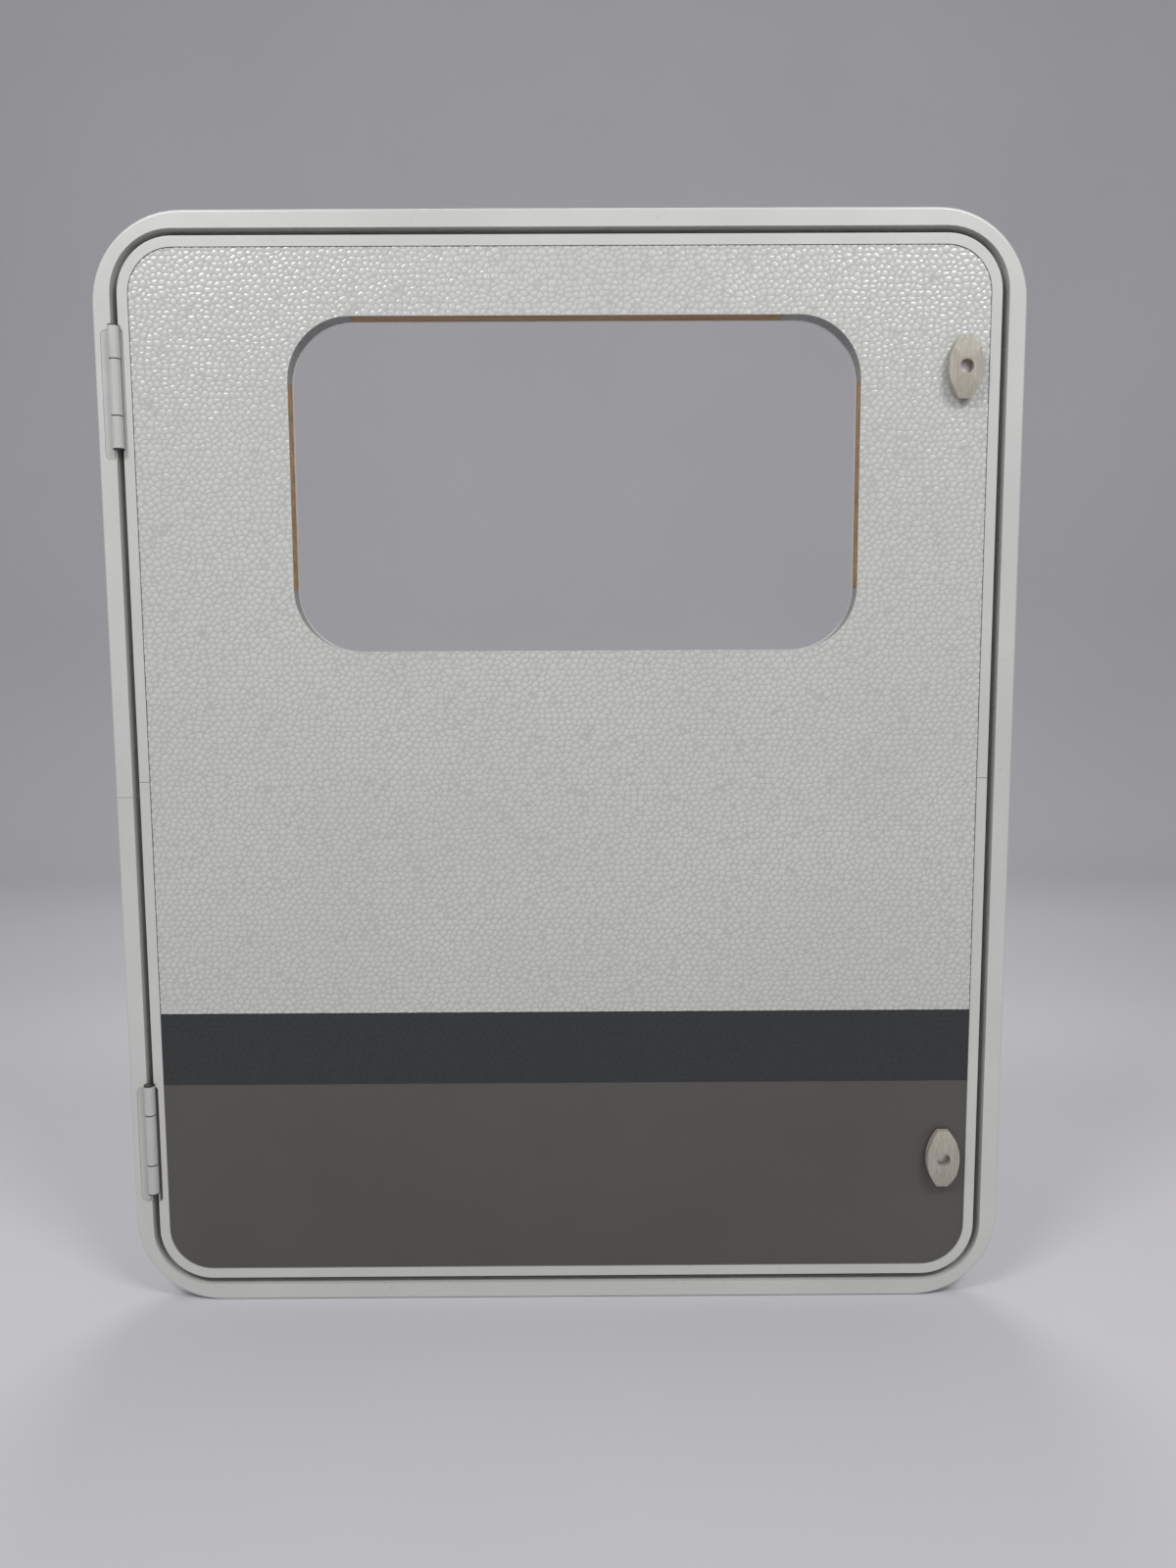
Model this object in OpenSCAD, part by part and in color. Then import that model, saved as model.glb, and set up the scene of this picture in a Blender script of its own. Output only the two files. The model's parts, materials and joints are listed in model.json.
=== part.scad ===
// Service hatch of a caravan: a bent wall frame and an insulated leaf hung on two hinges.
// Seen from outside, X runs to the right and Z up, and Y runs into the vehicle.
// The origin lies on the flat back of the bottom flange, at the middle of its width.
// Heights are measured from the lower edge of the flange, and drops from its upper edge.

/* [Outer frame] */
// Outside width of the flange
frame_w = 1000; // [900:10:1400]
// Outside height of the flange
frame_h = 1220; // [1050:10:1600]
// Width of the flange that covers the edge of the wall cut-out
flange_w = 19.2; // [18:0.2:26]
// Distance that the flange stands in front of the wall
flange_t = 4; // [3.6:0.2:6]
// Radius of the flange's rounded outer edge
flange_edge_r = 3; // [1:0.25:3.25]
// Radius of the frame's inner corners
frame_r = 68; // [50:1:90]
// How much larger the outer corner radius is than inner radius and flange width together
outer_r_gain = 9.8; // [0:0.1:12]
// Wall thickness of the frame section
frame_wall = 2; // [1.5:0.1:2.5]
// Inward width of the step that carries the seal
step_w = 16; // [14:0.5:20]
// Height of the butt joint in the left side
frame_joint_h = 593; // [400:1:800]
// Width of the slit that shows at each butt joint
joint_slit = 0.6; // [0.3:0.1:1]

/* [Leaf] */
// Gap between the flange and the leaf on every side
leaf_gap = 7.5; // [7:0.25:9]
// Width of the leaf's edge profile seen from outside
trim_w = 11.5; // [10:0.5:14]
// Thickness of the edge profile's two lips
trim_lip_t = 1.2; // [1:0.1:1.5]
// Thickness of the edge profile's web
trim_web_t = 1.5; // [1:0.1:2]
// Thickness of the panel between the lips
panel_t = 28; // [22:1:34]
// Thickness of the outer aluminium skins
skin_t = 1; // [0.6:0.1:1.4]
// Thickness of the inner skin
inner_skin_t = 3; // [2:0.5:5]
// Height of the lower edge of the stripe
stripe_bottom_h = 260.5; // [240:0.5:280]
// Height of the stripe itself
stripe_h = 83.5; // [40:0.5:120]
// Thickness of the stripe's film
film_t = 0.3; // [0.2:0.05:0.5]

/* [Window cut-out] */
// Width of the cut-out
window_w = 618; // [400:2:640]
// Height of the cut-out
window_h = 357; // [250:1:420]
// Corner radius of the cut-out
window_r = 68; // [40:1:90]
// Distance of the cut-out's middle to the right of the leaf's middle
window_x = 14.6; // [-10:0.2:20]
// Drop of the cut-out's upper edge
window_top_drop = 109.5; // [100:0.5:142]
// Width of the wooden battens round the cut-out
batten_w = 25; // [20:1:40]
// Distance that the upper batten ends before the right corner
top_batten_short = 16; // [0:1:40]
// Distance that the lower batten starts after the left corner
bottom_batten_late = 38; // [0:1:60]
// Distance that the lower batten ends before the right corner
bottom_batten_short = 26; // [0:1:60]
// Distance that battens and foam stay behind the edge of the skins
core_setback = 0.8; // [0.4:0.1:1.5]

/* [Hinges] */
// Length of a hinge over its end bushes
hinge_len = 130; // [120:1:150]
// Length of the middle knuckle, which belongs to the frame
mid_knuckle_len = 58; // [50:1:66]
// Outside diameter of the knuckles
knuckle_d = 12; // [11:0.25:12.5]
// Diameter of the hinge pin
pin_d = 6; // [5:0.25:7]
// Distance of the pin's axis in front of the flange
pin_proud = 3; // [2.8:0.1:4]
// Thickness of the black washers and end bushes
washer_t = 1.3; // [1:0.1:2]
// Thickness of the hinge leaves
hinge_leaf_t = 1.4; // [1.2:0.1:1.6]
// Drop of the middle of the upper hinge
upper_hinge_drop = 184; // [170:1:220]
// Height of the middle of the lower hinge
lower_hinge_h = 197; // [180:1:210]
// Height of the milled pocket round a hinge
pocket_h = 136; // [134:1:156]
// Distance that the pocket's middle lies below the hinge's middle
pocket_drop = 7; // [5:0.5:8]
// Width of the pocket in the flange
pocket_w = 11.8; // [10:0.2:13]
// Radius of the pocket's corners in the flange
pocket_r = 6; // [2:0.5:8]
// Width of the pocket in the leaf's edge profile
door_pocket_w = 5; // [4:0.5:7]
// Radius of the pocket's corners in the leaf's edge profile
door_pocket_r = 3; // [1:0.5:3.5]

/* [Latches] */
// Length of a knob
knob_len = 66; // [60:1:72]
// Width of a knob
knob_w = 37; // [32:1:40]
// Width of the blunt ends of a knob
knob_end_w = 12; // [8:1:16]
// Thickness of a knob at its middle
knob_t = 12; // [10:0.5:16]
// Distance of a knob's axis from the leaf's right edge
latch_inset = 40; // [38:0.5:48]
// Drop of the upper latch
upper_latch_drop = 167; // [160:1:180]
// Height of the lower latch
lower_latch_h = 170; // [160:1:180]
// Diameter of the bore for the key cylinder
cylinder_bore_d = 15; // [14.5:0.25:17]
// Diameter of the latch spindle
spindle_d = 12; // [11.5:0.5:13]
// Length of a latch tongue from its axis
tongue_len = 50; // [46:0.5:52]

/* [Hidden] */
$fn = 64;
eps = 0.01;
lap = 1;

// Clearances
run_clear = 0.05;
part_clear = 0.3;
seal_clear = 0.3;
knuckle_clear = 0.6;
knob_clear = 0.5;
tongue_clear = 1;

// Places along Z: the frame's lower edge and its middle
base_z = -flange_w / 2;
mid_z = base_z + frame_h / 2;

// Heights of what is set out from the frame's upper edge
window_mid_h = frame_h - window_top_drop - window_h / 2;
upper_hinge_h = frame_h - upper_hinge_drop;
upper_latch_h = frame_h - upper_latch_drop;

// Places along Y, from the outside inwards
front_y = -flange_t;
skin_y = front_y + trim_lip_t;
core_y = skin_y + skin_t;
inner_skin_y = skin_y + panel_t - inner_skin_t;
panel_back_y = skin_y + panel_t;
leaf_back_y = panel_back_y + trim_lip_t;
seal_foot_t = 1.5;
seal_bulb_d = 7;
seal_bulb_wall = 1.5;
seal_bulb_sink = 0.5;
step_y = leaf_back_y + seal_clear + seal_bulb_d + seal_foot_t - seal_bulb_sink;
leg_back_y = step_y + frame_wall;

// The frame's inner opening, and the leaf in it
opening_w = frame_w - 2 * flange_w;
opening_h = frame_h - 2 * flange_w;
leaf_w = opening_w - 2 * leaf_gap;
leaf_h = opening_h - 2 * leaf_gap;
leaf_r = frame_r - leaf_gap;
leaf_edge_r = 0.9;

// How much narrower the flange is at the corners, and where its outer part starts
corner_narrowing = (sqrt(2) - 1) * outer_r_gain;
flange_edge_x = flange_w / 3;

// Sealant grooves in the back of the flange
groove_w = 3;
groove_d = 0.8;
land_w = 3;

// Distance of the seal's middle line inside the frame's opening
seal_inset = leaf_gap + trim_web_t + seal_bulb_d / 2;

// The panel inside the edge profile
panel_inset = trim_web_t + part_clear;

// Hinge places
hinge_x = -opening_w / 2 + leaf_gap / 2;
hinge_y = front_y - pin_proud;
pocket_d = 1.6;
end_knuckle_len = (hinge_len - mid_knuckle_len) / 2 - 2 * washer_t;
door_leaf_d = 20;

// Latch places
latch_x = leaf_w / 2 - latch_inset;
knob_gap = 1.5;
knob_back_y = front_y - knob_gap;
knob_front_y = knob_back_y - knob_t;
knob_crown_r = 110;
knob_side_r = 60;
knob_slot_w = 8;
knob_slot_t = 4;
knob_slot_d = 8;
knob_slot_wall = 1.2;
bore_rim_w = 1.75;
bore_rim_sink = 0.6;
spindle_grip = 2;
spindle_end_y = knob_back_y - spindle_grip;
sleeve_d = 20;
sleeve_flange_d = 27;
case_w = 44;
case_h = 78;
case_t = 4;
case_r = 8;
boss_d = 26;
tongue_y = leg_back_y + tongue_clear;
tongue_t = 3;
tongue_w = 16;
tongue_hub_rim = 3;
tongue_square = 8;
nut_w = 15;
nut_t = 5;

// Heads of the screws that hold the edge profile, from the leaf's middle and as heights
screw_head_d = 6;
screw_head_h = 1.6;
screw_depth = 9.2;
top_screw_x = [-342, 80, 306];
bottom_screw_x = [-402, -117, 131, 370];
left_screw_h = [frame_h - 426];
right_screw_h = [frame_h - 170, frame_h / 2 + 7, 174];

// A rounded rectangle round the origin
module rounded_rect(w, h, r) {
    union() {
        square([w - 2 * r, h], center = true);
        square([w, h - 2 * r], center = true);
        for (x = [-1, 1], y = [-1, 1])
            translate([x * (w / 2 - r), y * (h / 2 - r)]) circle(r);
    }
}

// A flat plate in the plane of the hatch, from y0 to y1, drawn about the frame's middle
module plate(y0, y1) {
    translate([0, y1, mid_z]) rotate([90, 0, 0]) linear_extrude(y1 - y0) children();
}

// Carries a section round a rounded rectangle. The section's x runs outwards and its y inwards.
module swept_ring(w, h, r) {
    for (side = [0, 1]) mirror([side, 0, 0]) {
        translate([w / 2, 0, r - h / 2]) linear_extrude(h - 2 * r) children();
        for (end = [0, 1]) mirror([0, 0, end])
            translate([w / 2 - r, 0, r - h / 2]) rotate([-90, 0, 0])
                rotate_extrude(angle = 90) translate([r, 0]) children();
    }
    for (end = [0, 1]) mirror([0, 0, end])
        translate([w / 2 - r, 0, h / 2]) rotate([0, -90, 0])
            linear_extrude(w - 2 * r) children();
}

// Places children at a height above the frame's lower edge
module at_height(h) {
    translate([0, 0, base_z + h]) children();
}

// The part of a leaf-wide shape that lies between two heights
module band(h0, h1) {
    intersection() {
        children();
        translate([-frame_w, -frame_w, base_z + h0]) cube([2 * frame_w, 2 * frame_w, h1 - h0]);
    }
}

// Inner part of the frame's section: most of the flange, the leg, and the step for the seal
module frame_section() {
    translate([0, front_y])
        square([flange_w - corner_narrowing - flange_edge_r, flange_t]);
    translate([0, front_y]) square([frame_wall, leg_back_y - front_y]);
    translate([-step_w, step_y]) square([step_w + frame_wall, frame_wall]);
}

// Outer part of the flange with its rounded edge
module flange_edge_section() {
    intersection() {
        translate([flange_edge_x, front_y]) square([flange_w - flange_edge_x, flange_t]);
        union() {
            translate([0, front_y]) square([flange_w - flange_edge_r, flange_t]);
            translate([0, front_y + flange_edge_r]) square([flange_w, flange_t]);
            translate([flange_w - flange_edge_r, front_y + flange_edge_r])
                circle(flange_edge_r);
        }
    }
}

// The two grooves that hold sealant behind the flange
module groove_section() {
    for (side = [-1, 1])
        translate([flange_w / 2 + side * (land_w + groove_w) / 2 - groove_w / 2, -groove_d])
            square([groove_w, groove_d + lap]);
}

// A hinge seat as wide as w beside the line x = 0, rounded at its far corners
module seat_outline(w, h, r, back) {
    translate([-back, -h / 2]) square([back + w - r, h]);
    translate([-back, r - h / 2]) square([back + w, h - 2 * r]);
    for (end = [-1, 1]) translate([w - r, end * (h / 2 - r)]) circle(r);
}

// A seat for one hinge as a solid between y0 and y1, at the pocket's own height
module seat(y0, y1) {
    translate([0, y1, -pocket_drop]) rotate([90, 0, 0]) linear_extrude(y1 - y0) children();
}

// Room for the round knuckles between z0 and z1 of a hinge
module knuckle_room(z0, z1) {
    translate([hinge_x, hinge_y, z0])
        cylinder(d = knuckle_d + 2 * knuckle_clear, h = z1 - z0);
}

// Milled pocket in the flange for one hinge
module hinge_pocket(h) {
    room_z = hinge_len / 2 + part_clear;
    at_height(h) {
        translate([-opening_w / 2, 0, 0]) mirror([1, 0, 0])
            seat(front_y - lap, front_y + pocket_d)
                seat_outline(pocket_w, pocket_h, pocket_r, lap);
        knuckle_room(-room_z, room_z);
    }
}

// The frame is bent from one section. Its outer edge takes a larger radius at the corners.
module outer_frame() {
    color("gainsboro") difference() {
        translate([0, 0, mid_z]) union() {
            swept_ring(opening_w, opening_h, frame_r) frame_section();
            swept_ring(opening_w, opening_h, frame_r + outer_r_gain) flange_edge_section();
        }
        translate([0, 0, mid_z])
            swept_ring(opening_w, opening_h, frame_r + outer_r_gain / 2) groove_section();
        hinge_pocket(upper_hinge_h);
        hinge_pocket(lower_hinge_h);
        at_height(frame_joint_h)
            translate([-frame_w / 2 - lap, front_y - lap, -joint_slit / 2])
                cube([flange_w + step_w + 2 * lap, leg_back_y - front_y + 2 * lap, joint_slit]);
    }
}

// Section of the bulb seal on the step
module seal_section() {
    bulb_y = step_y - seal_foot_t - seal_bulb_d / 2 + seal_bulb_sink;
    difference() {
        union() {
            translate([-seal_bulb_d / 2, step_y - seal_foot_t]) square([seal_bulb_d, seal_foot_t]);
            translate([0, bulb_y]) circle(d = seal_bulb_d);
        }
        translate([0, bulb_y]) circle(d = seal_bulb_d - 2 * seal_bulb_wall);
    }
}

module frame_seal() {
    color([0.07, 0.07, 0.07]) translate([0, 0, mid_z])
        swept_ring(opening_w - 2 * seal_inset, opening_h - 2 * seal_inset,
            frame_r - seal_inset) seal_section();
}

// Leaf of the hinge that is let into the flange, with the long middle knuckle
module hinge_frame_leaf(h) {
    half_len = mid_knuckle_len / 2;
    floor_y = front_y + pocket_d;
    color("silver") at_height(h) difference() {
        union() {
            difference() {
                translate([-opening_w / 2, 0, 0]) mirror([1, 0, 0])
                    seat(floor_y - hinge_leaf_t, floor_y)
                        seat_outline(pocket_w - part_clear, pocket_h - 2 * part_clear,
                            pocket_r - part_clear, 0);
                knuckle_room(half_len, hinge_len);
                knuckle_room(-hinge_len, -half_len);
            }
            translate([-opening_w / 2 - lap, floor_y - hinge_leaf_t, -half_len])
                cube([hinge_x + opening_w / 2 + lap, hinge_leaf_t, mid_knuckle_len]);
            translate([hinge_x, hinge_y, -half_len])
                cylinder(d = knuckle_d, h = mid_knuckle_len);
        }
        translate([hinge_x, hinge_y, -half_len - lap])
            cylinder(d = pin_d + 2 * run_clear, h = mid_knuckle_len + 2 * lap);
    }
}

// Leaf of the hinge that is screwed to the edge of the door, with the two end knuckles
module hinge_door_leaf(h) {
    plate_x = -leaf_w / 2 - hinge_leaf_t;
    plate_y = hinge_y + knuckle_d / 2 + knuckle_clear;
    full_h = hinge_len - 2 * washer_t;
    color("silver") at_height(h) difference() {
        union() {
            translate([plate_x, plate_y, -full_h / 2])
                cube([hinge_leaf_t, door_leaf_d, full_h]);
            for (end = [0, 1]) mirror([0, 0, end])
                translate([0, 0, full_h / 2 - end_knuckle_len]) {
                    translate([plate_x, hinge_y, 0])
                        cube([hinge_leaf_t, plate_y - hinge_y + lap, end_knuckle_len]);
                    translate([hinge_x, hinge_y, 0]) cylinder(d = knuckle_d, h = end_knuckle_len);
                }
        }
        translate([hinge_x, hinge_y, -full_h / 2 - eps])
            cylinder(d = pin_d + 2 * run_clear, h = full_h + 2 * eps);
    }
}

module hinge_pin(h) {
    color("dimgray") at_height(h) translate([hinge_x, hinge_y, -hinge_len / 2])
        cylinder(d = pin_d, h = hinge_len);
}

// Black washers between the knuckles, and bushes at the ends
module hinge_washers(h) {
    gap_z = mid_knuckle_len / 2;
    end_z = hinge_len / 2 - washer_t;
    color([0.05, 0.05, 0.05]) at_height(h)
        for (z = [-end_z - washer_t, -gap_z - washer_t, gap_z, end_z])
            translate([hinge_x, hinge_y, z]) difference() {
                cylinder(d = knuckle_d, h = washer_t);
                translate([0, 0, -eps])
                    cylinder(d = pin_d + 2 * run_clear, h = washer_t + 2 * eps);
            }
}

// Section of the leaf's edge profile: a channel that grips the panel
module trim_section() {
    full_d = leaf_back_y - front_y;
    difference() {
        translate([-trim_w, front_y]) union() {
            square([trim_w - leaf_edge_r, full_d]);
            translate([0, leaf_edge_r]) square([trim_w, full_d - leaf_edge_r]);
            translate([trim_w - leaf_edge_r, leaf_edge_r]) circle(leaf_edge_r);
        }
        translate([-trim_w - eps, skin_y]) square([trim_w - trim_web_t + eps, panel_t]);
    }
}

// Cuts in the leaf's edge profile round the hinge knuckles
module leaf_pocket(h) {
    room_z = hinge_len / 2 + part_clear;
    at_height(h) {
        translate([-leaf_w / 2, 0, 0]) seat(front_y - lap, skin_y)
            seat_outline(door_pocket_w, pocket_h, door_pocket_r, lap);
        knuckle_room(-room_z, room_z);
    }
}

module door_profile() {
    difference() {
        translate([0, 0, mid_z]) swept_ring(leaf_w, leaf_h, leaf_r) trim_section();
        leaf_pocket(upper_hinge_h);
        leaf_pocket(lower_hinge_h);
    }
}

module door_profile_upper() {
    color("gainsboro") band(frame_h / 2 + joint_slit / 2, frame_h) door_profile();
}

module door_profile_lower() {
    color("gainsboro") band(0, frame_h / 2 - joint_slit / 2) door_profile();
}

module panel_outline() {
    rounded_rect(leaf_w - 2 * panel_inset, leaf_h - 2 * panel_inset, leaf_r - panel_inset);
}

module window_outline(grow) {
    translate([window_x, window_mid_h - frame_h / 2])
        rounded_rect(window_w + 2 * grow, window_h + 2 * grow, window_r + grow);
}

// Holes through the panel for the latch sleeves
module latch_holes() {
    for (h = [upper_latch_h, lower_latch_h])
        translate([latch_x, h - frame_h / 2]) circle(d = sleeve_d + 2 * part_clear);
}

module upper_skin() {
    color("gainsboro") band(stripe_bottom_h, frame_h)
        plate(skin_y, core_y) difference() {
            panel_outline();
            window_outline(0);
            latch_holes();
        }
}

module lower_skin() {
    color([0.29, 0.28, 0.26]) band(0, stripe_bottom_h - part_clear)
        plate(skin_y, core_y) difference() {
            panel_outline();
            latch_holes();
        }
}

module stripe_film() {
    film_w = leaf_w - 2 * trim_w - 2 * part_clear;
    color([0.14, 0.15, 0.16])
        at_height(stripe_bottom_h) translate([-film_w / 2, skin_y - film_t, 0])
            cube([film_w, film_t, stripe_h]);
}

module foam_core() {
    color("darkgray") difference() {
        plate(core_y, inner_skin_y) difference() {
            panel_outline();
            window_outline(core_setback);
            latch_holes();
        }
        for (side = ["top", "bottom", "left", "right"]) batten(side, part_clear, lap);
    }
}

// Where each batten lies: [x from, x to, height from, height to]
function batten_box(side) =
    let (x0 = window_x - window_w / 2, x1 = window_x + window_w / 2,
        h0 = window_mid_h - window_h / 2, h1 = window_mid_h + window_h / 2)
    side == "top"
        ? [x0 + window_r, x1 - window_r - top_batten_short, h1 + core_setback, h1 + batten_w]
    : side == "bottom"
        ? [x0 + window_r + bottom_batten_late, x1 - window_r - bottom_batten_short,
            h0 - batten_w, h0 - core_setback]
    : side == "left" ? [x0 - batten_w, x0 - core_setback, h0 + window_r, h1 - window_r]
    : [x1 + core_setback, x1 + batten_w, h0 + window_r, h1 - window_r];

// A batten, or with a clearance and a reach in depth the room for it in the foam
module batten(side, clear, reach) {
    b = batten_box(side);
    at_height(b[2] - clear) translate([b[0] - clear, core_y - reach, 0])
        cube([b[1] - b[0] + 2 * clear, inner_skin_y - core_y + 2 * reach,
            b[3] - b[2] + 2 * clear]);
}

module window_batten(side) {
    color("peru") batten(side, 0, 0);
}

module inner_skin() {
    color("whitesmoke") plate(inner_skin_y, panel_back_y) difference() {
        panel_outline();
        window_outline(0);
        latch_holes();
    }
}

// Tube through the panel with a round collar outside, in which the spindle turns
module latch_sleeve(h) {
    collar_y = knob_back_y + knob_clear;
    color("darkgray") at_height(h) translate([latch_x, 0, 0]) rotate([-90, 0, 0])
        difference() {
            union() {
                translate([0, 0, collar_y]) cylinder(d = sleeve_flange_d, h = skin_y - collar_y);
                translate([0, 0, collar_y]) cylinder(d = sleeve_d, h = panel_back_y - collar_y);
            }
            translate([0, 0, collar_y - eps])
                cylinder(d = spindle_d + 2 * run_clear, h = panel_back_y - collar_y + 2 * eps);
        }
}

// Inner cover of a latch: a rounded plate with a boss up to the tongue
module latch_case(h) {
    boss_y = tongue_y - knob_clear;
    color("whitesmoke") at_height(h) translate([latch_x, 0, 0]) rotate([-90, 0, 0])
        difference() {
            union() {
                translate([0, 0, panel_back_y])
                    linear_extrude(case_t) rounded_rect(case_w, case_h, case_r);
                translate([0, 0, panel_back_y]) cylinder(d = boss_d, h = boss_y - panel_back_y);
            }
            translate([0, 0, panel_back_y - eps])
                cylinder(d = spindle_d + 2 * run_clear, h = boss_y - panel_back_y + 2 * eps);
        }
}

// Outline of a knob: two arcs that meet in blunt ends
module knob_outline() {
    sag = (knob_w - knob_end_w) / 2;
    arc_r = (pow(knob_len / 2, 2) + pow(sag, 2)) / (2 * sag);
    intersection() {
        translate([arc_r - knob_w / 2, 0]) circle(arc_r, $fn = 128);
        translate([knob_w / 2 - arc_r, 0]) circle(arc_r, $fn = 128);
        square([knob_w, knob_len], center = true);
    }
}

module latch_knob(h) {
    color([0.62, 0.60, 0.54]) at_height(h) translate([latch_x, 0, 0]) difference() {
        intersection() {
            translate([0, knob_back_y, 0]) rotate([90, 0, 0])
                linear_extrude(knob_t) knob_outline();
            translate([-knob_w, knob_front_y + knob_crown_r, 0]) rotate([0, 90, 0])
                cylinder(r = knob_crown_r, h = 2 * knob_w, $fn = 128);
            translate([0, knob_front_y + knob_side_r, -knob_len])
                cylinder(r = knob_side_r, h = 2 * knob_len, $fn = 128);
        }
        rotate([90, 0, 0]) {
            translate([0, 0, -knob_back_y - eps]) cylinder(d = spindle_d, h = knob_t);
            translate([0, 0, -spindle_end_y]) cylinder(d = cylinder_bore_d, h = knob_t);
            translate([0, 0, -knob_front_y - bore_rim_sink])
                cylinder(d = cylinder_bore_d + 2 * bore_rim_w, h = knob_t);
        }
        translate([-knob_slot_w / 2, knob_back_y - knob_slot_wall - knob_slot_t,
            -knob_len / 2 - lap]) cube([knob_slot_w, knob_slot_t, knob_slot_d + lap]);
    }
}

// Spindle with a square end for the tongue and a nut on it
module latch_spindle(h) {
    round_end_y = tongue_y - knob_clear / 2;
    color("silver") at_height(h) translate([latch_x, 0, 0]) rotate([-90, 0, 0]) {
        translate([0, 0, spindle_end_y])
            cylinder(d = spindle_d, h = round_end_y - spindle_end_y);
        translate([-tongue_square / 2, -tongue_square / 2, round_end_y])
            cube([tongue_square, tongue_square, tongue_y + tongue_t - round_end_y]);
        translate([0, 0, tongue_y + tongue_t]) cylinder(d = nut_w, h = nut_t, $fn = 6);
    }
}

// Tongue that hangs down when the latch is open and turns behind the frame's step
module latch_tongue(h) {
    color("silver") at_height(h) translate([latch_x, tongue_y + tongue_t, 0])
        rotate([90, 0, 0]) linear_extrude(tongue_t) difference() {
            union() {
                circle(d = tongue_w + 2 * tongue_hub_rim);
                translate([-tongue_w / 2, tongue_w / 2 - tongue_len])
                    square([tongue_w, tongue_len - tongue_w / 2]);
                translate([0, tongue_w / 2 - tongue_len]) circle(d = tongue_w);
            }
            square(tongue_square + 2 * run_clear, center = true);
        }
}

// Domed head of one screw, standing on the plane z = 0
module screw_head() {
    dome_r = (pow(screw_head_d / 2, 2) + pow(screw_head_h, 2)) / (2 * screw_head_h);
    intersection() {
        translate([0, 0, screw_head_h - dome_r]) sphere(dome_r);
        cylinder(d = screw_head_d + lap, h = screw_head_h + lap);
    }
}

module edge_screws() {
    screw_y = front_y + screw_depth;
    color("white") {
        for (x = top_screw_x)
            translate([x, screw_y, mid_z + leaf_h / 2]) screw_head();
        for (x = bottom_screw_x)
            translate([x, screw_y, mid_z - leaf_h / 2]) mirror([0, 0, 1]) screw_head();
        for (h = left_screw_h)
            at_height(h) translate([-leaf_w / 2, screw_y, 0]) rotate([0, -90, 0]) screw_head();
        for (h = right_screw_h)
            at_height(h) translate([leaf_w / 2, screw_y, 0]) rotate([0, 90, 0]) screw_head();
    }
}

outer_frame();
frame_seal();
hinge_frame_leaf(upper_hinge_h);  // upper_hinge_frame_leaf
hinge_frame_leaf(lower_hinge_h);  // lower_hinge_frame_leaf
hinge_pin(upper_hinge_h);  // upper_hinge_pin
hinge_pin(lower_hinge_h);  // lower_hinge_pin
hinge_washers(upper_hinge_h);  // upper_hinge_washers
hinge_washers(lower_hinge_h);  // lower_hinge_washers
door_profile_upper();
door_profile_lower();
upper_skin();
stripe_film();
lower_skin();
foam_core();
window_batten("top");  // window_batten_top
window_batten("bottom");  // window_batten_bottom
window_batten("left");  // window_batten_left
window_batten("right");  // window_batten_right
inner_skin();
hinge_door_leaf(upper_hinge_h);  // upper_hinge_door_leaf
hinge_door_leaf(lower_hinge_h);  // lower_hinge_door_leaf
latch_sleeve(upper_latch_h);  // upper_latch_sleeve
latch_sleeve(lower_latch_h);  // lower_latch_sleeve
latch_case(upper_latch_h);  // upper_latch_case
latch_case(lower_latch_h);  // lower_latch_case
edge_screws();
latch_knob(upper_latch_h);  // upper_latch_knob
latch_knob(lower_latch_h);  // lower_latch_knob
latch_spindle(upper_latch_h);  // upper_latch_spindle
latch_spindle(lower_latch_h);  // lower_latch_spindle
latch_tongue(upper_latch_h);  // upper_latch_tongue
latch_tongue(lower_latch_h);  // lower_latch_tongue
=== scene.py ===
import json
import math

import bmesh
import bpy
import numpy as np
from mathutils import Matrix, Vector


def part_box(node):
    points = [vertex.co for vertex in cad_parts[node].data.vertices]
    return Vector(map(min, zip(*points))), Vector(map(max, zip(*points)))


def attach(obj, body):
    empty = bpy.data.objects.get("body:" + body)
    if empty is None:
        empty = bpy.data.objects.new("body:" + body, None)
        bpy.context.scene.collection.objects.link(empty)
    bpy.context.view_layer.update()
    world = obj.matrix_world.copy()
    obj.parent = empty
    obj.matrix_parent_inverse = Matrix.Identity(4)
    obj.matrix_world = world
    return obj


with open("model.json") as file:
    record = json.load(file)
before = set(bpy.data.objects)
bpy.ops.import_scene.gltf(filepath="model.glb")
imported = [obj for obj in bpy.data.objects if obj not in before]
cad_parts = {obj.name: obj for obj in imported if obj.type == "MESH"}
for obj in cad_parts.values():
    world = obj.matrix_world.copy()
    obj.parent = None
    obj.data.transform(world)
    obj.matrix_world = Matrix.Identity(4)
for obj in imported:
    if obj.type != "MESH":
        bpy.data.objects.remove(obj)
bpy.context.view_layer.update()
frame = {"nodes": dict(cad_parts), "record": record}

nodes = frame["nodes"]
MM = 0.001

# Sizes of the CAD that the pieces below follow, in metres
frame_low, frame_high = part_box("outer_frame")
leaf_low, leaf_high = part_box("door_profile_upper")
leaf_x0, leaf_x1, leaf_z1 = leaf_low.x, leaf_high.x, leaf_high.z
leaf_z0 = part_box("door_profile_lower")[0].z
leaf_cx, leaf_cz = (leaf_x0 + leaf_x1) / 2, (leaf_z0 + leaf_z1) / 2
skin_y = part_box("lower_skin")[0].y
skin_z0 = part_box("upper_skin")[0].z
film_low, film_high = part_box("stripe_film")
FLOOR_Z = frame_low.z
TRIM_W = 11.5 * MM
LEAF_R = 60.5 * MM
WINDOW = (14.6 * MM, 922.4 * MM, 309 * MM, 178.5 * MM, 68 * MM)
LATCH_X = 433.3 * MM
LATCH_Z = (1043.4 * MM, 160.4 * MM)
COLLAR_R = 13.5 * MM
BEAD = 0.9 * MM


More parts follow.
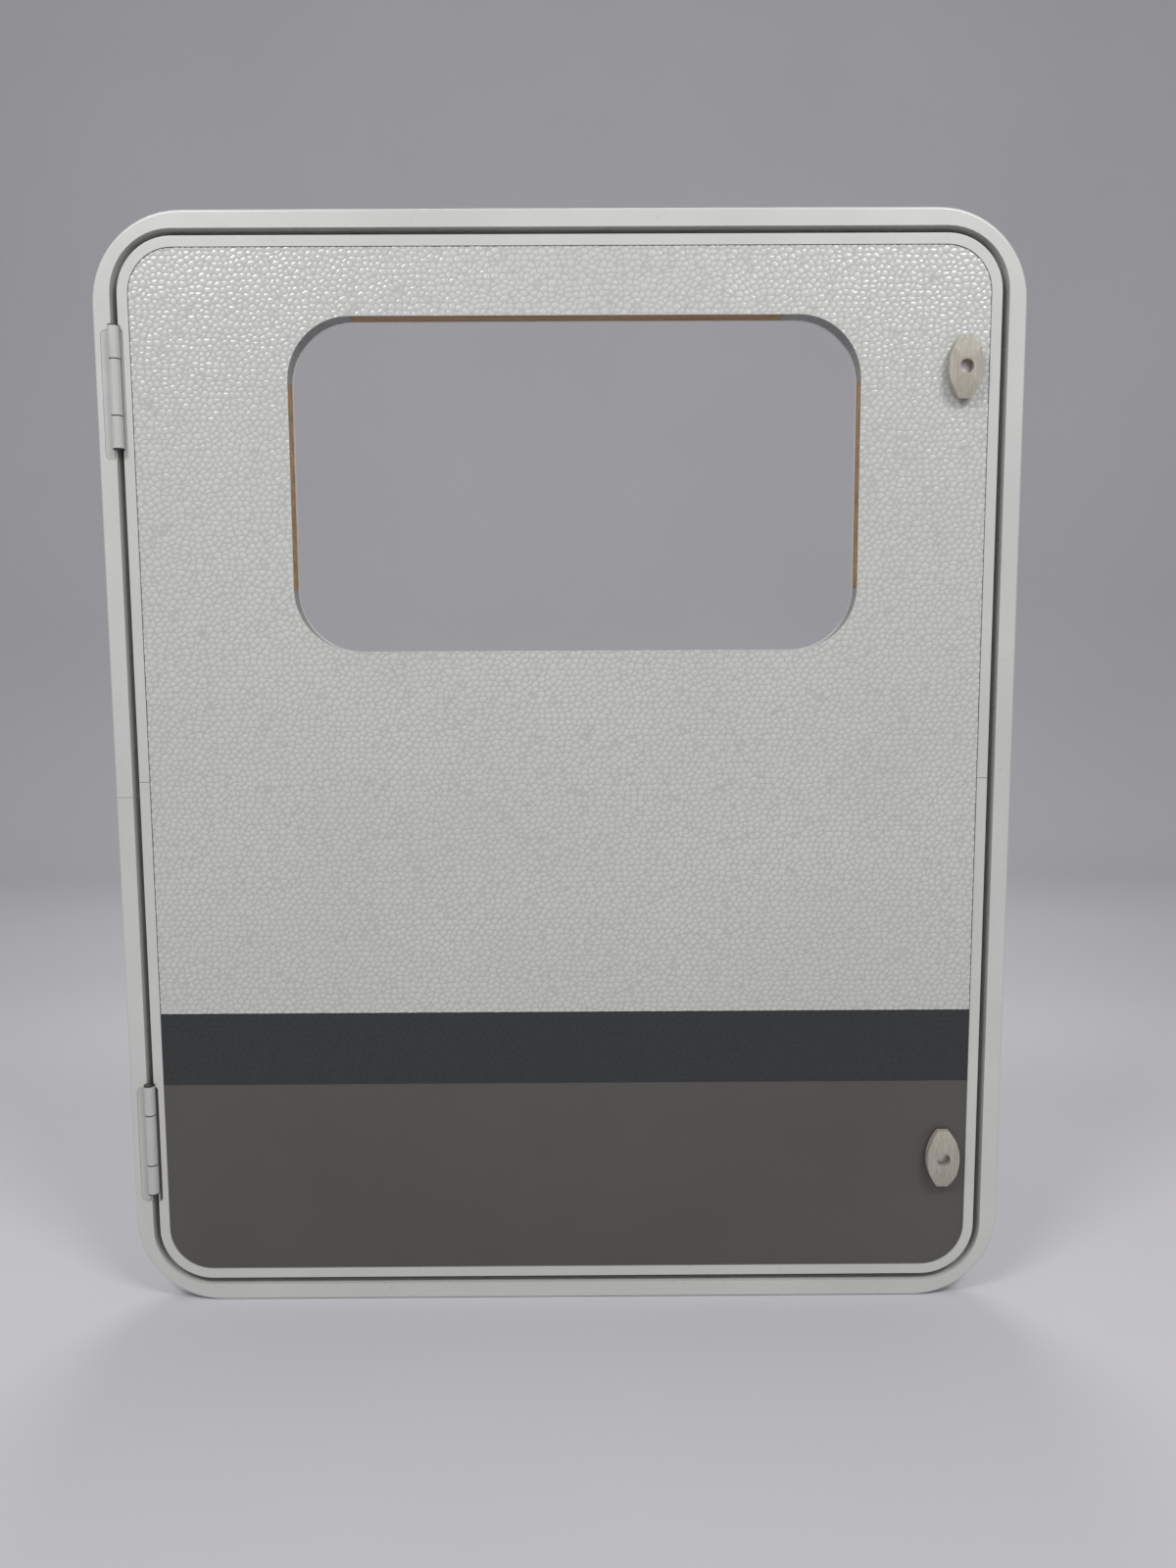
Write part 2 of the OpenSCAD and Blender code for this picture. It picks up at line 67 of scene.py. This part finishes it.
# ---------------------------------------------------------------- materials
class Mat:
    """A node material on one Principled shader, built up piece by piece."""

    def __init__(self, name, **sockets):
        self.mat = bpy.data.materials.new(name)
        self.mat.use_nodes = True
        self.tree = self.mat.node_tree
        self.bsdf = self.tree.nodes["Principled BSDF"]
        for key, value in sockets.items():
            self.bsdf.inputs[key.replace("_", " ")].default_value = value
        self.coords = self.tree.nodes.new("ShaderNodeTexCoord").outputs["Object"]
        self.normal = None

    def link(self, a, b):
        self.tree.links.new(a, b)

    def mapped(self, scale):
        node = self.tree.nodes.new("ShaderNodeMapping")
        node.inputs["Scale"].default_value = scale
        self.link(self.coords, node.inputs["Vector"])
        return node.outputs["Vector"]

    def noise(self, scale, detail=3.0, rough=0.5, stretch=None):
        node = self.tree.nodes.new("ShaderNodeTexNoise")
        node.inputs["Scale"].default_value = scale
        node.inputs["Detail"].default_value = detail
        node.inputs["Roughness"].default_value = rough
        self.link(self.mapped(stretch) if stretch else self.coords, node.inputs["Vector"])
        return node.outputs["Fac"]

    def voronoi(self, scale, feature="F1", stretch=None):
        node = self.tree.nodes.new("ShaderNodeTexVoronoi")
        node.feature = feature
        node.inputs["Scale"].default_value = scale
        self.link(self.mapped(stretch) if stretch else self.coords, node.inputs["Vector"])
        return node.outputs["Distance"]

    def ramp(self, value, low, high, a=0.0, b=1.0):
        node = self.tree.nodes.new("ShaderNodeMapRange")
        self.link(value, node.inputs["Value"])
        for key, val in (("From Min", low), ("From Max", high), ("To Min", a), ("To Max", b)):
            node.inputs[key].default_value = val
        return node.outputs["Result"]

    def mix(self, factor, a, b):
        node = self.tree.nodes.new("ShaderNodeMix")
        node.data_type = "RGBA"
        self.link(factor, node.inputs[0])
        for socket, value in ((node.inputs[6], a), (node.inputs[7], b)):
            if isinstance(value, tuple):
                socket.default_value = (*value, 1.0)
            else:
                self.link(value, socket)
        return node.outputs[2]

    def colour(self, value):
        self.link(value, self.bsdf.inputs["Base Color"])
        return self

    def rough(self, value, low, high, a, b):
        self.link(self.ramp(value, low, high, a, b), self.bsdf.inputs["Roughness"])
        return self

    def bump(self, height, distance, strength=1.0):
        node = self.tree.nodes.new("ShaderNodeBump")
        node.inputs["Strength"].default_value = strength
        node.inputs["Distance"].default_value = distance
        self.link(height, node.inputs["Height"])
        if self.normal:
            self.link(self.normal, node.inputs["Normal"])
        self.normal = node.outputs["Normal"]
        self.link(self.normal, self.bsdf.inputs["Normal"])
        return self


def coat_white(name, tone, rough_low, rough_high):
    """Powder-coated aluminium: an even pale coat with faint orange peel."""
    m = Mat(name, Coat_Weight=0.25, Coat_Roughness=0.18, IOR=1.5)
    pale = tuple(c * 1.03 for c in tone)
    dull = tuple(c * 0.965 for c in tone)
    cloud = m.noise(7.0, 4.0)
    m.colour(m.mix(m.ramp(cloud, 0.35, 0.65), dull, pale))
    m.rough(m.noise(38.0, 3.0), 0.3, 0.7, rough_low, rough_high)
    m.bump(m.noise(900.0, 2.0), 0.00004, 0.35)
    return m.mat


def relief_coat(name, tone, valley_shade_and_dust, rough_low, rough_high, attribute=True):
    """Coat on the pebbled sheet. The hollows between the pebbles get painted shade with a little
    dust.
    """
    m = Mat(name, Coat_Weight=0.35, Coat_Roughness=0.12, IOR=1.5)
    cloud = m.noise(5.0, 4.0)
    pale = tuple(c * 1.025 for c in tone)
    dull = tuple(c * 0.97 for c in tone)
    body = m.mix(m.ramp(cloud, 0.35, 0.65), dull, pale)
    # Painted shade with a little dust: low relief mixes the coat towards the darker hollow tone.
    if attribute:
        attr = m.tree.nodes.new("ShaderNodeAttribute")
        attr.attribute_name = "relief"
        body = m.mix(m.ramp(attr.outputs["Fac"], 0.0, 0.45), valley_shade_and_dust, body)
    m.colour(body)
    m.rough(m.noise(55.0, 3.0), 0.3, 0.7, rough_low, rough_high)
    m.bump(m.noise(750.0, 2.0), 0.00005, 0.4)
    return m.mat


def satin_sheet():
    """The smooth lower skin: a satin taupe coat with faint cloudiness."""
    m = Mat("smooth_skin_taupe", Coat_Weight=0.1, Coat_Roughness=0.3, IOR=1.48)
    m.colour(m.mix(m.ramp(m.noise(4.0, 5.0), 0.3, 0.7), (0.078, 0.073, 0.066),
                   (0.090, 0.084, 0.077)))
    m.rough(m.noise(22.0, 4.0), 0.3, 0.7, 0.42, 0.54)
    m.bump(m.noise(1200.0, 2.0), 0.00003, 0.35)
    return m.mat


def rubber():
    m = Mat("seal_rubber_black", IOR=1.5)
    m.colour(m.mix(m.ramp(m.noise(60.0, 4.0), 0.3, 0.7), (0.011, 0.011, 0.012),
                   (0.022, 0.022, 0.023)))
    m.rough(m.noise(90.0, 3.0), 0.3, 0.7, 0.55, 0.75)
    m.bump(m.noise(1600.0, 3.0), 0.00006, 0.5)
    return m.mat


def coated_metal(name, tone, rough_low, rough_high):
    """Painted hinge metal, a little greyer than the frame, with fine drawing lines."""
    m = Mat(name, Coat_Weight=0.3, Coat_Roughness=0.2, IOR=1.5)
    m.colour(m.mix(m.ramp(m.noise(30.0, 4.0), 0.3, 0.7), tuple(c * 0.95 for c in tone),
                   tuple(c * 1.04 for c in tone)))
    m.rough(m.noise(120.0, 3.0, 0.5, (1.0, 1.0, 0.05)), 0.3, 0.7, rough_low, rough_high)
    m.bump(m.noise(700.0, 2.0, 0.5, (1.0, 1.0, 0.06)), 0.00004, 0.4)
    return m.mat


def steel(name, tone, rough_low, rough_high):
    """Zinc-plated steel with faint rolling marks and spangle."""
    m = Mat(name, Metallic=1.0)
    m.colour(m.mix(m.ramp(m.voronoi(260.0), 0.1, 0.6), tuple(c * 0.86 for c in tone), tone))
    m.rough(m.noise(180.0, 3.0), 0.3, 0.7, rough_low, rough_high)
    m.bump(m.noise(500.0, 3.0, 0.5, (1.0, 1.0, 0.1)), 0.00004, 0.35)
    return m.mat


def nylon():
    m = Mat("black_nylon", IOR=1.53)
    m.colour(m.mix(m.ramp(m.noise(80.0, 3.0), 0.3, 0.7), (0.008, 0.008, 0.009),
                   (0.018, 0.018, 0.019)))
    m.rough(m.noise(160.0, 3.0), 0.3, 0.7, 0.35, 0.5)
    m.bump(m.noise(1500.0, 2.0), 0.00004, 0.4)
    return m.mat


def foam():
    """Grey polystyrene board: pressed beads with darker joints."""
    m = Mat("foam_grey", IOR=1.4)
    edge = m.voronoi(330.0, "DISTANCE_TO_EDGE")
    m.colour(m.mix(m.ramp(edge, 0.0, 0.12), (0.16, 0.16, 0.165), (0.33, 0.33, 0.335)))
    m.rough(m.noise(200.0, 3.0), 0.3, 0.7, 0.75, 0.92)
    m.bump(m.ramp(edge, 0.0, 0.2), 0.0003, 0.8)
    return m.mat


def wood():
    """Spruce batten: long fibres along the batten and darker year lines."""
    m = Mat("batten_wood_spruce", IOR=1.45)
    long_grain = m.noise(90.0, 6.0, 0.6, (0.05, 1.0, 1.0))
    tall_grain = m.noise(90.0, 6.0, 0.6, (1.0, 1.0, 0.05))
    tone = m.mix(m.ramp(long_grain, 0.32, 0.68), (0.20, 0.115, 0.048), (0.42, 0.27, 0.135))
    m.colour(m.mix(m.ramp(tall_grain, 0.42, 0.62, 0.0, 0.6), tone, (0.30, 0.185, 0.085)))
    m.rough(m.noise(300.0, 3.0), 0.3, 0.7, 0.6, 0.82)
    m.bump(m.noise(420.0, 5.0, 0.6, (0.08, 1.0, 1.0)), 0.0002, 0.6)
    return m.mat


def board():
    """Foil-faced inner board with a faint embossed grain."""
    m = Mat("inner_board_foil", IOR=1.48)
    m.colour(m.mix(m.ramp(m.noise(9.0, 4.0), 0.3, 0.7), (0.60, 0.585, 0.55),
                   (0.66, 0.645, 0.61)))
    m.rough(m.noise(70.0, 3.0), 0.3, 0.7, 0.4, 0.56)
    m.bump(m.voronoi(620.0, "SMOOTH_F1"), 0.0001, 0.35)
    return m.mat


def knob_plastic():
    """Moulded grey-beige plastic with a faint brushing along the knob's length."""
    m = Mat("knob_plastic_beige", IOR=1.47)
    streak = m.noise(520.0, 5.0, 0.65, (1.0, 1.0, 0.045))
    m.colour(m.mix(m.ramp(streak, 0.3, 0.7), (0.31, 0.285, 0.235), (0.46, 0.43, 0.37)))
    m.rough(m.noise(150.0, 3.0), 0.3, 0.7, 0.45, 0.62)
    m.bump(streak, 0.00012, 0.6)
    return m.mat


def moulded(name, tone):
    m = Mat(name, IOR=1.48)
    m.colour(m.mix(m.ramp(m.noise(40.0, 4.0), 0.3, 0.7), tuple(c * 0.96 for c in tone), tone))
    m.rough(m.noise(110.0, 3.0), 0.3, 0.7, 0.38, 0.52)
    m.bump(m.noise(1400.0, 2.0), 0.00005, 0.4)
    return m.mat


WHITE = (0.560, 0.568, 0.545)
MATS = {
    "coated_aluminium": coat_white("coated_aluminium_white", WHITE, 0.26, 0.36),
    # The darker third tones are painted shade with a little dust for the pebble hollows; these
    # coats read no relief, so they stay unused.
    "hammered_skin": relief_coat("hammered_skin_white", WHITE, (0.47, 0.475, 0.455),
                                 0.26, 0.38, False),
    "stripe_film": relief_coat("stripe_film_slate", (0.0165, 0.0195, 0.0215),
                               (0.012, 0.014, 0.016), 0.34, 0.46, False),
    "smooth_skin": satin_sheet(),
    "seal_rubber": rubber(),
    "hinge_metal": coated_metal("hinge_metal_coated", (0.50, 0.505, 0.49), 0.28, 0.4),
    "bare_steel": steel("bare_steel_zinc", (0.62, 0.61, 0.58), 0.28, 0.42),
    "black_nylon": nylon(),
    "foam": foam(),
    "batten_wood": wood(),
    "inner_board": board(),
    "knob_plastic": knob_plastic(),
    "case_plastic": moulded("case_plastic_white", (0.56, 0.555, 0.53)),
}
# The darker third tones are painted shade with a little dust, mixed into the hollows between the
# pebbles.
RELIEF_WHITE = relief_coat("hammered_relief_white", WHITE, (0.44, 0.445, 0.425), 0.24, 0.36)
RELIEF_SLATE = relief_coat("stripe_relief_slate", (0.0165, 0.0195, 0.0215),
                           (0.011, 0.013, 0.0145), 0.30, 0.42)
SEALANT = moulded("sealant_grey", (0.14, 0.14, 0.138))

SLOT_OF = {part["node"] if "node" in part else part["name"]: part.get("material_slot")
           for part in frame["record"].get("subparts", []) if isinstance(part, dict)}
for name, obj in nodes.items():
    slot = SLOT_OF.get(name)
    if slot in MATS:
        obj.data.materials.clear()
        obj.data.materials.append(MATS[slot])


# ------------------------------------------------------------ pebbled relief
CELL_X, CELL_Z = 7.3 * MM, 6.1 * MM
HEIGHT = 0.46 * MM
VALLEY_Y = skin_y - 0.06 * MM
rng = np.random.default_rng(20)
GRID_N = 240
JITTER = rng.uniform(-0.40, 0.40, (GRID_N, GRID_N, 2))
PEAK = rng.uniform(0.72, 1.0, (GRID_N, GRID_N))


def pebbles(x, z):
    """Height from 0 to 1 of the pebbles at points in metres."""
    u, v = x / CELL_X + 90.5, z / CELL_Z + 12.5
    iu, iv = np.floor(u).astype(int), np.floor(v).astype(int)
    f1 = np.full(u.shape, 9.0)
    f2 = np.full(u.shape, 9.0)
    peak = np.ones(u.shape)
    for dv in (-2, -1, 0, 1, 2):
        for du in (-2, -1, 0, 1, 2):
            cu, cv = (iu + du) % GRID_N, (iv + dv) % GRID_N
            px = iu + du + 0.5 + JITTER[cu, cv, 0] + 0.5 * ((iv + dv) % 2)
            pz = iv + dv + 0.5 + JITTER[cu, cv, 1]
            d = np.hypot(u - px, v - pz)
            near = d < f1
            f2 = np.where(near, f1, np.minimum(f2, d))
            peak = np.where(near, PEAK[cu, cv], peak)
            f1 = np.where(near, d, f1)
    t = np.clip((f2 - f1) / 0.62, 0.0, 1.0)
    rim = t * t * (3 - 2 * t)
    dome = 1 - np.clip(f1 / 0.85, 0.0, 1.0) ** 2
    return rim * (0.5 + 0.5 * dome) * peak


def rounded_sdf(x, z, cx, cz, hw, hh, r):
    qx, qz = np.abs(x - cx) - (hw - r), np.abs(z - cz) - (hh - r)
    outside = np.hypot(np.maximum(qx, 0), np.maximum(qz, 0))
    return outside + np.minimum(np.maximum(qx, qz), 0) - r


def region_sdf(x, z, inset, z0, z1):
    """Below zero where the sheet is bare between its edge profile and its cut-outs."""
    d = rounded_sdf(x, z, leaf_cx, leaf_cz, (leaf_x1 - leaf_x0) / 2 - inset,
                    (leaf_z1 - leaf_z0) / 2 - inset, LEAF_R - inset)
    d = np.maximum(d, -rounded_sdf(x, z, *WINDOW))
    for lz in LATCH_Z:
        d = np.maximum(d, COLLAR_R + 0.2 * MM - np.hypot(x - LATCH_X, z - lz))
    return np.maximum(d, np.maximum(z0 - z, z - z1))


def relief_piece(name, z0, z1, step, material, base_y, sink_y):
    inset = TRIM_W + 0.6 * MM
    x0, x1 = leaf_x0 + inset, leaf_x1 - inset
    nx, nz = int(round((x1 - x0) / step)) + 1, int(round((z1 - z0) / step)) + 1
    cell = max((x1 - x0) / (nx - 1), (z1 - z0) / (nz - 1))
    gx, gz = np.meshgrid(np.linspace(x0, x1, nx), np.linspace(z0, z1, nz))
    keep_v = region_sdf(gx, gz, inset, z0, z1) < 0.5 * cell
    keep_q = keep_v[:-1, :-1] & keep_v[1:, :-1] & keep_v[:-1, 1:] & keep_v[1:, 1:]
    iz, ix = np.nonzero(keep_q)
    idx = np.arange(nx * nz).reshape(nz, nx)
    quads = np.stack([idx[iz, ix], idx[iz, ix + 1], idx[iz + 1, ix + 1], idx[iz + 1, ix]], 1)
    used, flat = np.unique(quads, return_inverse=True)
    quads = flat.reshape(-1, 4)
    px, pz = gx.ravel()[used], gz.ravel()[used]

    # The rim is the edges that only one face has. Its points move onto the true outline.
    edges = np.concatenate([quads[:, [k, (k + 1) % 4]] for k in range(4)])
    key = np.sort(edges, 1)
    _, first, count = np.unique(key, axis=0, return_index=True, return_counts=True)
    rim = edges[first[count == 1]]
    on_rim = np.unique(rim)
    for _ in range(3):
        x, z, e = px[on_rim], pz[on_rim], 0.05 * MM
        d = region_sdf(x, z, inset, z0, z1)
        dx = (region_sdf(x + e, z, inset, z0, z1) - region_sdf(x - e, z, inset, z0, z1)) / (2 * e)
        dz = (region_sdf(x, z + e, inset, z0, z1) - region_sdf(x, z - e, inset, z0, z1)) / (2 * e)
        px[on_rim] -= d * dx
        pz[on_rim] -= d * dz

    h = pebbles(px, pz)
    py = base_y - HEIGHT * h
    count_v = len(px)
    low = np.full(count_v, -1)
    low[on_rim] = count_v + np.arange(len(on_rim))
    verts = np.concatenate([np.stack([px, py, pz], 1),
                            np.stack([px[on_rim], np.full(len(on_rim), sink_y), pz[on_rim]], 1)])
    walls = np.stack([rim[:, 1], rim[:, 0], low[rim[:, 0]], low[rim[:, 1]]], 1)
    me = bpy.data.meshes.new(name)
    me.from_pydata(verts.tolist(), [], np.concatenate([quads, walls]).tolist())
    bm = bmesh.new()
    bm.from_mesh(me)
    bm.verts.ensure_lookup_table()
    open_edges = [e for e in bm.edges if e.is_boundary]
    bmesh.ops.triangle_fill(bm, use_beauty=False, use_dissolve=False, edges=open_edges,
                            normal=(0, 1, 0))
    bmesh.ops.recalc_face_normals(bm, faces=bm.faces)
    bm.to_mesh(me)
    bm.free()

    # Exact normals of the height field, so that neighbouring pieces shade as one sheet
    e = 0.35 * step
    sx = (pebbles(px + e, pz) - pebbles(px - e, pz)) / (2 * e) * HEIGHT
    sz = (pebbles(px, pz + e) - pebbles(px, pz - e)) / (2 * e) * HEIGHT
    n = np.stack([-sx, -np.ones(count_v), -sz], 1)
    n /= np.linalg.norm(n, axis=1)[:, None]
    me.polygons.foreach_set("use_smooth", np.ones(len(me.polygons), dtype=bool))
    starts = np.empty(len(me.polygons), dtype=np.int32)
    totals = np.empty(len(me.polygons), dtype=np.int32)
    flat_n = np.empty(len(me.polygons) * 3, dtype=np.float32)
    loops = np.empty(len(me.loops), dtype=np.int32)
    me.polygons.foreach_get("loop_start", starts)
    me.polygons.foreach_get("loop_total", totals)
    me.polygons.foreach_get("normal", flat_n)
    me.loops.foreach_get("vertex_index", loops)
    face = np.repeat(np.arange(len(totals)), totals)
    loop_n = flat_n.reshape(-1, 3)[face]
    on_top = (flat_n.reshape(-1, 3)[:, 1] < -0.5)[face] & (loops < count_v)
    loop_n[on_top] = n[loops[on_top]]
    me.normals_split_custom_set(loop_n.tolist())
    # Pebble height per point; the relief coats use it to paint shade, with a little dust, into
    # the hollows.
    attr = me.attributes.new("relief", "FLOAT", "POINT")
    values = np.zeros(len(me.vertices), dtype=np.float32)
    values[:count_v] = h
    attr.data.foreach_set("value", values)

    me.materials.append(material)
    obj = bpy.data.objects.new(name, me)
    bpy.context.scene.collection.objects.link(obj)
    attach(obj, "door")
    return obj


STEP = 1.6 * MM
skin_top = leaf_z1 - TRIM_W - 0.6 * MM
cut_z = WINDOW[1] - WINDOW[3]
mid_cut = (film_high.z + cut_z) / 2
relief_piece("skin_relief_top", cut_z, skin_top, STEP, RELIEF_WHITE,
             VALLEY_Y, skin_y + 0.1 * MM)
relief_piece("skin_relief_middle", mid_cut, cut_z, STEP, RELIEF_WHITE,
             VALLEY_Y, skin_y + 0.1 * MM)
relief_piece("skin_relief_lower", film_high.z, mid_cut, STEP, RELIEF_WHITE,
             VALLEY_Y, skin_y + 0.1 * MM)
relief_piece("stripe_relief", film_low.z, film_high.z, STEP, RELIEF_SLATE,
             film_low.y - 0.05 * MM, film_low.y + 0.1 * MM)


# ------------------------------------------------------------- other pieces
def finish_piece(name, bm, material, body, smooth=True):
    bmesh.ops.recalc_face_normals(bm, faces=bm.faces)
    me = bpy.data.meshes.new(name)
    bm.to_mesh(me)
    bm.free()
    for poly in me.polygons:
        poly.use_smooth = smooth
    me.materials.append(material)
    obj = bpy.data.objects.new(name, me)
    bpy.context.scene.collection.objects.link(obj)
    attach(obj, body)
    return obj


def outline_points(hw, hh, r, per_corner=24):
    """Points and outward directions round a rounded rectangle about the leaf's middle."""
    out = []
    for quarter, (sx, sz) in enumerate(((1, 1), (-1, 1), (-1, -1), (1, -1))):
        for k in range(per_corner + 1):
            a = math.pi / 2 * (quarter + k / per_corner)
            out.append((leaf_cx + sx * (hw - r) + r * math.cos(a),
                        leaf_cz + sz * (hh - r) + r * math.sin(a),
                        math.cos(a), math.sin(a)))
    return out


def bead_ring(name, inset, section, material, body):
    """Carries a small section round the leaf. Section: (distance inwards, y) pairs."""
    bm = bmesh.new()
    rings = []
    hw, hh = (leaf_x1 - leaf_x0) / 2 - inset, (leaf_z1 - leaf_z0) / 2 - inset
    for x, z, nx, nz in outline_points(hw, hh, LEAF_R - inset):
        rings.append([bm.verts.new((x - s * nx, y, z - s * nz)) for s, y in section])
    m = len(section)
    for i, ring in enumerate(rings):
        nxt = rings[(i + 1) % len(rings)]
        for k in range(m):
            bm.faces.new((ring[k], ring[(k + 1) % m], nxt[(k + 1) % m], nxt[k]))
    return finish_piece(name, bm, material, body)


bead_ring("skin_sealant", TRIM_W,
          [(-0.2 * MM, skin_y + 0.1 * MM), (-0.2 * MM, skin_y - 0.55 * MM),
           (0.15 * MM, skin_y - 0.52 * MM), (0.6 * MM, skin_y - 0.36 * MM),
           (BEAD, skin_y - 0.1 * MM), (BEAD, skin_y + 0.1 * MM)],
          SEALANT, "door")


# --------------------------------------------------------- camera and studio
def camera_matrix():
    pitch, yaw, roll = math.radians(6.29), math.radians(-0.19), math.radians(-0.29)
    base = Matrix(((1, 0, 0), (0, 0, -1), (0, 1, 0)))
    c, s = math.cos(pitch), math.sin(pitch)
    rx = Matrix(((1, 0, 0), (0, c, -s), (0, s, c)))
    c, s = math.cos(yaw), math.sin(yaw)
    ry = Matrix(((c, 0, s), (0, 1, 0), (-s, 0, c)))
    c, s = math.cos(roll), math.sin(roll)
    rz = Matrix(((c, -s, 0), (s, c, 0), (0, 0, 1)))
    m = rz @ rx @ ry @ base
    out = Matrix((m[0], -m[1], -m[2])).transposed().to_4x4()
    out.translation = Vector((0.0227, -1.3112, 0.7399))
    return out


cam_data = bpy.data.cameras.new("photo_camera")
cam_data.sensor_fit = "AUTO"
cam_data.sensor_width = 36.0
cam_data.lens = 36.0 * 1202.0 / 1600.0
camera = bpy.data.objects.new("photo_camera", cam_data)
camera.matrix_world = camera_matrix()
bpy.context.scene.collection.objects.link(camera)
bpy.context.scene.camera = camera


def studio_floor():
    """A pale floor that turns up into a backdrop well behind the hatch."""
    bend_y, bend_r, far_x, near_y, top_z = 2.6, 0.9, 7.0, -7.0, 4.5
    path = [(near_y, 0.0), (bend_y, 0.0)]
    path += [(bend_y + bend_r * math.sin(a), bend_r * (1 - math.cos(a)))
             for a in (math.pi / 2 * k / 16 for k in range(1, 17))]
    path.append((bend_y + bend_r, top_z))
    verts = [(x, y, FLOOR_Z + z) for y, z in path for x in (-far_x, far_x)]
    faces = [(2 * i, 2 * i + 1, 2 * i + 3, 2 * i + 2) for i in range(len(path) - 1)]
    me = bpy.data.meshes.new("studio_floor")
    me.from_pydata(verts, [], faces)
    for poly in me.polygons:
        poly.use_smooth = True
    m = Mat("studio_pale", Roughness=0.85)
    m.colour(m.mix(m.ramp(m.noise(1.5, 3.0), 0.3, 0.7), (0.565, 0.555, 0.585),
                   (0.585, 0.575, 0.605)))
    me.materials.append(m.mat)
    obj = bpy.data.objects.new("studio_floor", me)
    bpy.context.scene.collection.objects.link(obj)


studio_floor()


def area_lamp(name, place, target, size, power, tint=(1.0, 1.0, 1.0)):
    data = bpy.data.lights.new(name, "AREA")
    data.shape = "RECTANGLE"
    data.size, data.size_y = size
    data.energy = power
    data.color = tint
    obj = bpy.data.objects.new(name, data)
    obj.location = place
    obj.rotation_euler = (Vector(target) - Vector(place)).to_track_quat("-Z", "Y").to_euler()
    bpy.context.scene.collection.objects.link(obj)


area_lamp("lamp_left", (-1.25, -1.75, 2.55), (0, 0, 0.62), (0.9, 0.5), 30)
area_lamp("lamp_right", (1.25, -1.75, 2.55), (0, 0, 0.62), (0.9, 0.5), 30)
area_lamp("lamp_back", (0.0, 2.1, 2.3), (0, 0, 0.6), (1.6, 0.8), 22)

world = bpy.data.worlds.new("studio_world")
world.use_nodes = True
tree = world.node_tree
tree.nodes.clear()
fill = tree.nodes.new("ShaderNodeBackground")
fill.inputs["Color"].default_value = (1.0, 1.0, 1.0, 1.0)
fill.inputs["Strength"].default_value = 0.42
seen = tree.nodes.new("ShaderNodeBackground")
seen.inputs["Color"].default_value = (0.47, 0.46, 0.49, 1.0)
seen.inputs["Strength"].default_value = 1.0
path = tree.nodes.new("ShaderNodeLightPath")
largest = []
for a, b in (("Is Camera Ray", "Is Glossy Ray"), (None, "Is Transmission Ray")):
    node = tree.nodes.new("ShaderNodeMath")
    node.operation = "MAXIMUM"
    tree.links.new(path.outputs[a] if a else largest[-1].outputs[0], node.inputs[0])
    tree.links.new(path.outputs[b], node.inputs[1])
    largest.append(node)
blend = tree.nodes.new("ShaderNodeMixShader")
tree.links.new(largest[-1].outputs[0], blend.inputs[0])
tree.links.new(fill.outputs[0], blend.inputs[1])
tree.links.new(seen.outputs[0], blend.inputs[2])
out = tree.nodes.new("ShaderNodeOutputWorld")
tree.links.new(blend.outputs[0], out.inputs["Surface"])
bpy.context.scene.world = world
bpy.context.scene.view_settings.view_transform = "Standard"
